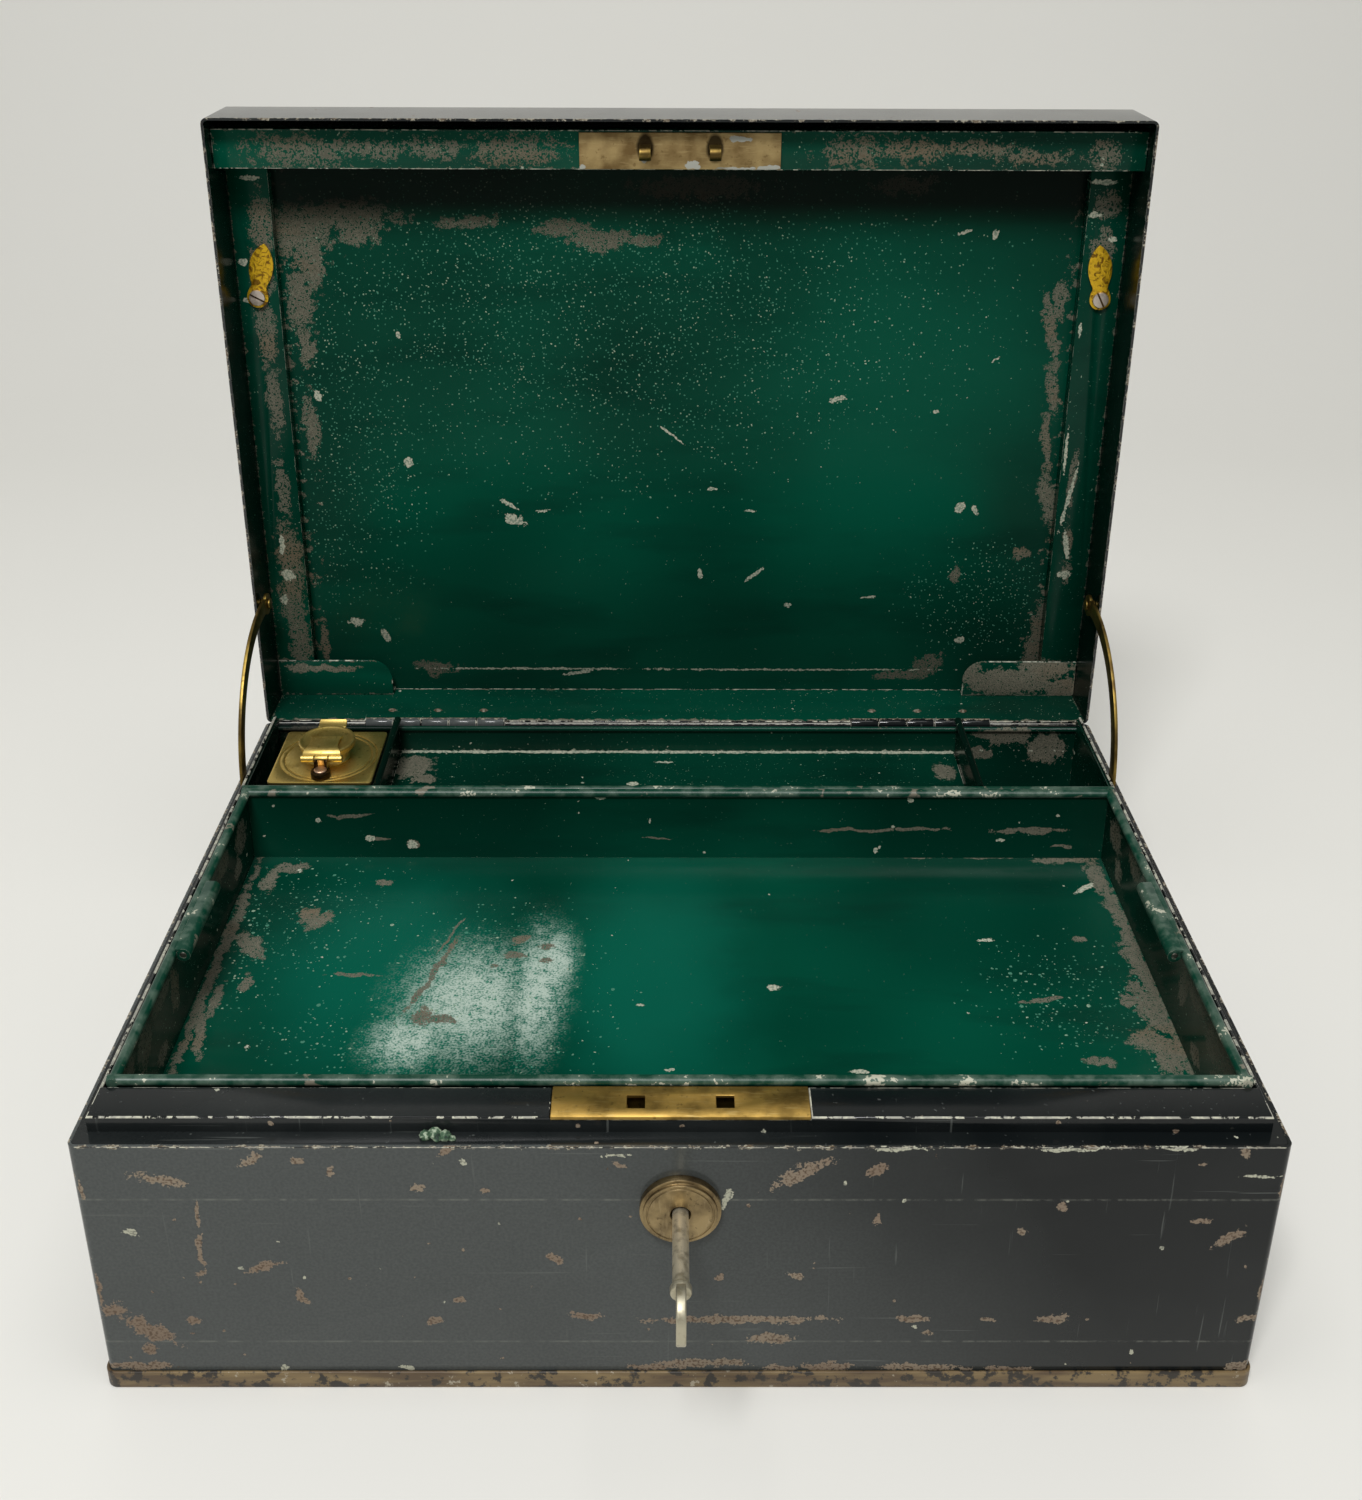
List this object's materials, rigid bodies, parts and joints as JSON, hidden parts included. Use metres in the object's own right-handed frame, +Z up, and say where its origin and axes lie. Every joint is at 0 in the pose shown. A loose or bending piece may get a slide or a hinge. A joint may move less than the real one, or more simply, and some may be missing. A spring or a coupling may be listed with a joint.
{
  "type": "cash box",
  "caption": "Japanned tin cash box with a hinged lid on quadrant stays, a lift-out tray, a rear till with a pen trough and inkwell, and a lever lock with its key.",
  "frame": {"origin": "centre of the underside, on the surface the box stands on", "axes": "+X to the right seen from the front, +Y to the back, +Z up"},
  "size_m": [0.3576, 0.3314, 0.35],
  "materials": {
    "black_japan": "black japanned tinplate, glossy and chipped",
    "green_japan": "dark green japanned tinplate, worn",
    "worn_bead": "rubbed and rusted bead",
    "brass": "aged brass",
    "steel": "dull steel",
    "key_steel": "polished nickel-plated key",
    "glass": "thick pressed glass"
  },
  "bodies": {
    "case": {"case_shell": "black_japan", "base_plate": "black_japan", "base_bead": "worn_bead", "rim_frame": "black_japan", "tray_bearers": "green_japan", "till_shell": "green_japan", "till_divider_left": "green_japan", "till_divider_right": "green_japan", "pen_trough": "green_japan", "hinge_case_leaves": "black_japan", "hinge_pins": "steel", "hinge_case_rivets": "black_japan", "lock_case": "brass", "lock_selvedge": "brass", "lock_lever_post": "steel", "lock_spring": "steel", "escutcheon": "brass"},
    "lid": {"lid_shell": "black_japan", "lid_front_channel": "green_japan", "lid_side_channel_left": "green_japan", "lid_side_channel_right": "green_japan", "lid_gusset_left": "green_japan", "lid_gusset_right": "green_japan", "hook_plate": "brass", "hook_staples": "brass", "hinge_lid_leaves": "black_japan", "hinge_lid_rivets": "black_japan", "stay_rivets": "brass", "turn_button_screws": "steel"},
    "stay_left": {"stay_left": "brass"},
    "stay_right": {"stay_right": "brass"},
    "turn_button_left": {"turn_button_left": "brass"},
    "turn_button_right": {"turn_button_right": "brass"},
    "tray": {"tray_shell": "green_japan", "lift_lip_left": "green_japan", "lift_lip_right": "green_japan", "lift_lip_wires": "steel"},
    "inkwell": {"inkwell_bottle": "glass", "inkwell_plate": "brass", "inkwell_neck": "brass", "inkwell_post": "brass", "inkwell_hinge_pin": "steel"},
    "inkwell_cap": {"inkwell_cap": "brass"},
    "inkwell_button": {"inkwell_button": "brass"},
    "curtain": {"lock_curtain": "brass"},
    "key": {"key": "key_steel"},
    "bolt": {"lock_bolt": "brass"},
    "levers": {"lock_levers": "brass"}
  },
  "joints": [
    {"name": "lid_hinge", "type": "hinge", "parent": "case", "child": "lid", "pos_m": [0, 0.127, 0.096], "axis": [-1, 0, 0], "range_deg": [-90, 0]},
    {"name": "stay_left_swing", "type": "hinge", "parent": "lid", "child": "stay_left", "pos_m": [-0.1746, 0.135, 0.1489], "axis": [-1, 0, 0], "range_deg": [0, 8]},
    {"name": "stay_right_swing", "type": "hinge", "parent": "lid", "child": "stay_right", "pos_m": [0.1746, 0.135, 0.1489], "axis": [-1, 0, 0], "range_deg": [0, 8]},
    {"name": "turn_button_left_turn", "type": "hinge", "parent": "lid", "child": "turn_button_left", "pos_m": [-0.169, 0.1495, 0.277], "axis": [0, 1, 0], "range_deg": [0, 78]},
    {"name": "turn_button_right_turn", "type": "hinge", "parent": "lid", "child": "turn_button_right", "pos_m": [0.169, 0.1495, 0.277], "axis": [0, -1, 0], "range_deg": [0, 84]},
    {"name": "tray_lift", "type": "slide", "parent": "case", "child": "tray", "axis": [0, 0, 1], "range_m": [0, 0.06]},
    {"name": "inkwell_lift", "type": "slide", "parent": "case", "child": "inkwell", "axis": [0, 0, 1], "range_m": [0, 0.06]},
    {"name": "inkwell_cap_hinge", "type": "hinge", "parent": "inkwell", "child": "inkwell_cap", "pos_m": [-0.14295, 0.07535, 0.108], "axis": [1, 0, 0], "range_deg": [0, 100]},
    {"name": "inkwell_button_press", "type": "slide", "parent": "inkwell", "child": "inkwell_button", "axis": [0, 0, -1], "range_m": [0, 0.0015], "stiffness_N_per_m": 200},
    {"name": "key_turn", "type": "hinge", "parent": "case", "child": "curtain", "pos_m": [0, -0.127, 0.0736], "axis": [0, 1, 0], "range_deg": [0, 180]},
    {"name": "key_withdraw", "type": "slide", "parent": "curtain", "child": "key", "axis": [0, -1, 0], "range_m": [0, 0.06]},
    {"name": "bolt_throw", "type": "slide", "parent": "case", "child": "bolt", "axis": [1, 0, 0], "range_m": [0, 0.0068]},
    {"name": "lever_lift", "type": "hinge", "parent": "case", "child": "levers", "pos_m": [0.024, -0.117, 0.0845], "axis": [0, 1, 0], "range_deg": [0, 5.4], "deforming": ["lock_spring"]}
  ],
  "couplings": [
    {"joint": "stay_left_swing", "follows": "lid_hinge", "ratio": -0.088889},
    {"joint": "stay_right_swing", "follows": "lid_hinge", "ratio": -0.088889},
    {"joint": "bolt_throw", "follows": "key_turn", "m_per_rad": 0.0021645},
    {"joint": "lever_lift", "follows": "key_turn", "ratio": 0.03}
  ]
}
